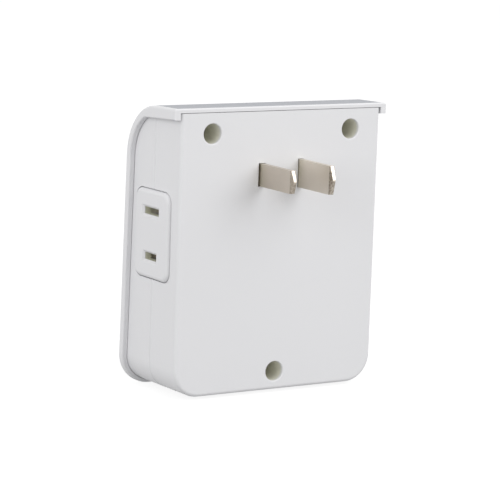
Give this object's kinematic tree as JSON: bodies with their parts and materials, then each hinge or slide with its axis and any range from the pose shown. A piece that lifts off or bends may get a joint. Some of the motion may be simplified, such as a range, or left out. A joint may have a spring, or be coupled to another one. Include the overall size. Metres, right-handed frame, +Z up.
{
  "type": "plug in timer switch",
  "caption": "Wall-plug digital timer switch with a two-blade polarised plug, a side outlet, an LCD, a keypad and a relay.",
  "frame": {"origin": "on the wall face, midway between the roots of the two plug blades", "axes": "+Y into the wall, +Z up, +X to the right for someone facing the front"},
  "size_m": [0.0694, 0.0456, 0.0813],
  "materials": {
    "case_white": "satin",
    "face_film": "satin",
    "clear_window": "gloss",
    "blade_nickel": "satin",
    "screw_steel": "satin",
    "contact_brass": "satin",
    "bus_copper": "satin",
    "board_green": "satin",
    "relay_iron": "satin",
    "black_plastic": "matte",
    "relay_blue": "satin",
    "capacitor_yellow": "satin",
    "capacitor_sleeve": "gloss",
    "varistor_blue": "satin",
    "resistor_body": "matte",
    "lcd_glass": "satin",
    "frame_grey": "matte",
    "zebra_rubber": "matte",
    "key_grey": "satin",
    "key_dark": "satin",
    "plunger_black": "matte"
  },
  "bodies": {
    "case": {"backup_cell": "screw_steel", "board_header": "black_plastic", "case_screws": "screw_steel", "cell_clip": "blade_nickel", "controller": "black_plastic", "crystal": "screw_steel", "diodes": "black_plastic", "display_window": "clear_window", "electrolytic_capacitor": "capacitor_sleeve", "face_overlay": "face_film", "film_capacitor": "capacitor_yellow", "front_cover": "case_white", "front_housing": "case_white", "header_pins": "blade_nickel", "hot_blade": "blade_nickel", "hot_bus": "bus_copper", "hot_outlet_contact": "contact_brass", "lcd_frame": "frame_grey", "lcd_panel": "lcd_glass", "logic_board": "board_green", "logic_board_screws": "screw_steel", "neutral_blade": "blade_nickel", "neutral_bus": "bus_copper", "neutral_outlet_contact": "contact_brass", "outlet_faceplate": "case_white", "power_board": "board_green", "power_board_screws": "screw_steel", "rear_housing": "case_white", "relay_base": "black_plastic", "relay_bobbin": "black_plastic", "relay_case": "relay_blue", "relay_coil": "bus_copper", "relay_coil_pins": "blade_nickel", "relay_core": "relay_iron", "relay_fixed_contact": "contact_brass", "relay_yoke": "relay_iron", "resistor": "resistor_body", "switched_bus": "bus_copper", "tact_switches": "black_plastic", "varistor": "varistor_blue", "zebra_strips": "zebra_rubber"},
    "clock_key": {"clock_key": "key_grey", "clock_key_plunger": "plunger_black"},
    "day_key": {"day_key": "key_grey", "day_key_plunger": "plunger_black"},
    "hour_key": {"hour_key": "key_grey", "hour_key_plunger": "plunger_black"},
    "minute_key": {"minute_key": "key_grey", "minute_key_plunger": "plunger_black"},
    "program_key": {"program_key": "key_grey", "program_key_plunger": "plunger_black"},
    "on_off_key": {"on_off_key": "key_dark", "on_off_key_plunger": "plunger_black"},
    "random_key": {"random_key": "key_grey", "random_key_plunger": "plunger_black"},
    "armature": {"relay_armature": "relay_iron", "relay_contact_leaf": "contact_brass"}
  },
  "joints": [
    {"name": "clock_key_press", "type": "slide", "parent": "case", "child": "clock_key", "axis": [0, 1, 0], "range_m": [0, 0.0004], "stiffness_N_per_m": 1500, "springref_m": -0.0002},
    {"name": "day_key_press", "type": "slide", "parent": "case", "child": "day_key", "axis": [0, 1, 0], "range_m": [0, 0.0004], "stiffness_N_per_m": 1500, "springref_m": -0.0002},
    {"name": "hour_key_press", "type": "slide", "parent": "case", "child": "hour_key", "axis": [0, 1, 0], "range_m": [0, 0.0004], "stiffness_N_per_m": 1500, "springref_m": -0.0002},
    {"name": "minute_key_press", "type": "slide", "parent": "case", "child": "minute_key", "axis": [0, 1, 0], "range_m": [0, 0.0004], "stiffness_N_per_m": 1500, "springref_m": -0.0002},
    {"name": "program_key_press", "type": "slide", "parent": "case", "child": "program_key", "axis": [0, 1, 0], "range_m": [0, 0.0004], "stiffness_N_per_m": 1500, "springref_m": -0.0002},
    {"name": "on_off_key_press", "type": "slide", "parent": "case", "child": "on_off_key", "axis": [0, 1, 0], "range_m": [0, 0.0004], "stiffness_N_per_m": 1500, "springref_m": -0.0002},
    {"name": "random_key_press", "type": "slide", "parent": "case", "child": "random_key", "axis": [0, 1, 0], "range_m": [0, 0.0004], "stiffness_N_per_m": 1500, "springref_m": -0.0002},
    {"name": "armature_pull", "type": "hinge", "parent": "case", "child": "armature", "pos_m": [-0.0177, -0.0175, -0.03065], "axis": [1, 0, 0], "range_deg": [0, 4], "stiffness_Nm_per_rad": 0.02, "springref_deg": -5.73}
  ]
}
